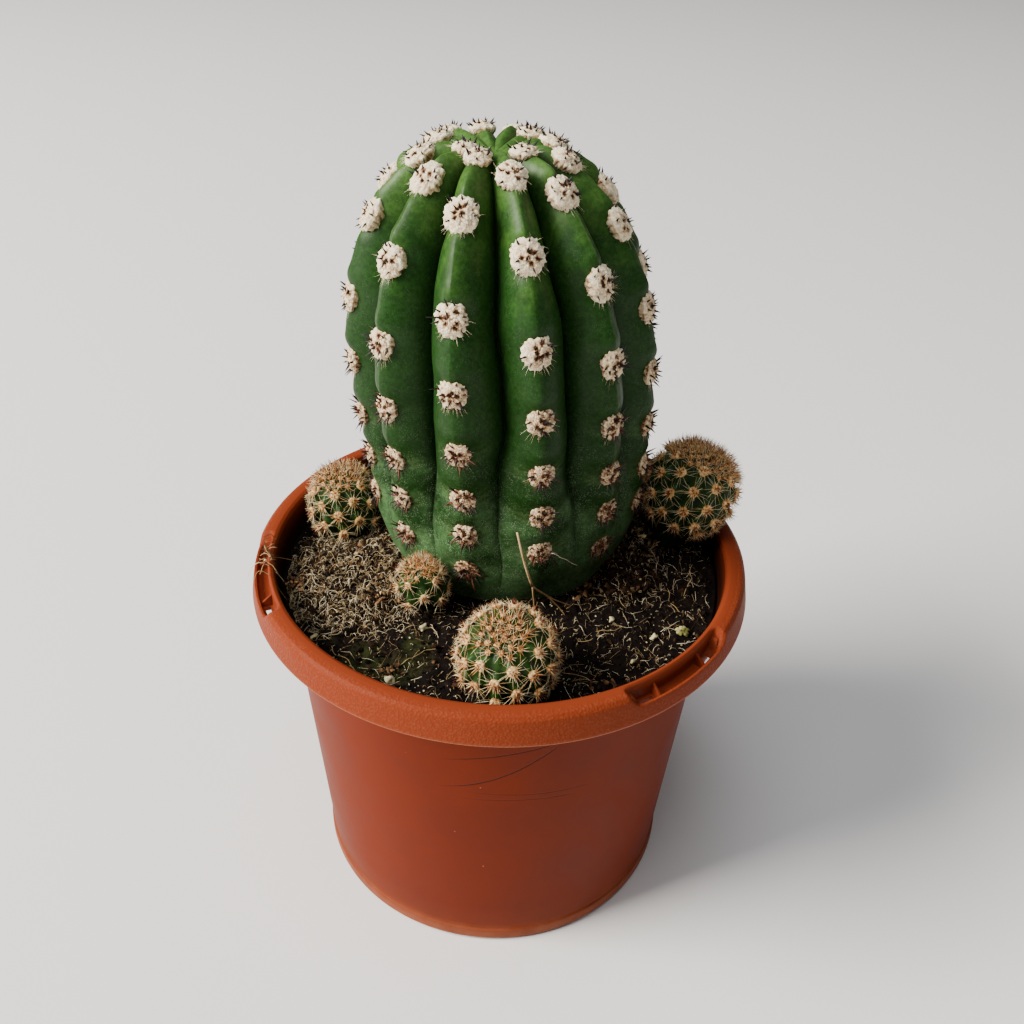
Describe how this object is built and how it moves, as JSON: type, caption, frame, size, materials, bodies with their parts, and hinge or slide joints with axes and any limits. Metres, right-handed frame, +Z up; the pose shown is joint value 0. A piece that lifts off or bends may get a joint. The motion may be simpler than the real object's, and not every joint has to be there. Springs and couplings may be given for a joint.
{
  "type": "potted columnar cactus with offsets",
  "caption": "Ribbed columnar cactus with woolly spined areoles and small spiny offsets, standing in soil in a round plastic nursery pot with a banded rim.",
  "frame": {"origin": "middle of the flat underside of the pot", "axes": "+Z up; -Y towards the viewer of the picture; the stem stands 18 mm behind the pot's axis"},
  "size_m": [0.1496, 0.15, 0.2362],
  "materials": {
    "terracotta_plastic": "satin",
    "peat_soil": "matte",
    "stem_skin": "satin",
    "offset_skin": "satin",
    "areole_wool": "matte",
    "dark_spine": "matte",
    "pale_spine": "matte",
    "dry_fibre": "matte",
    "husk_crumbs": "matte",
    "dry_wood": "matte",
    "pale_grain": "matte",
    "sprout_green": "matte"
  },
  "bodies": {
    "root": {"pot": "terracotta_plastic", "soil": "peat_soil", "main_stem": "stem_skin", "offset_front": "offset_skin", "offset_right": "offset_skin", "offset_left": "offset_skin", "offset_small": "offset_skin", "litter_left": "dry_fibre", "litter_rear": "dry_fibre", "litter_right": "husk_crumbs", "twig": "dry_wood", "rootlet_1": "dry_fibre", "rootlet_2": "dry_fibre", "rootlet_3": "dry_fibre", "rootlet_4": "dry_fibre", "rootlet_5": "dry_fibre", "rootlet_6": "dry_fibre", "grain_1": "pale_grain", "grain_2": "pale_grain", "grain_3": "pale_grain", "grain_4": "pale_grain", "grain_5": "pale_grain", "grain_6": "pale_grain", "grain_7": "pale_grain", "grain_8": "pale_grain", "seedling": "sprout_green"}
  },
  "joints": []
}
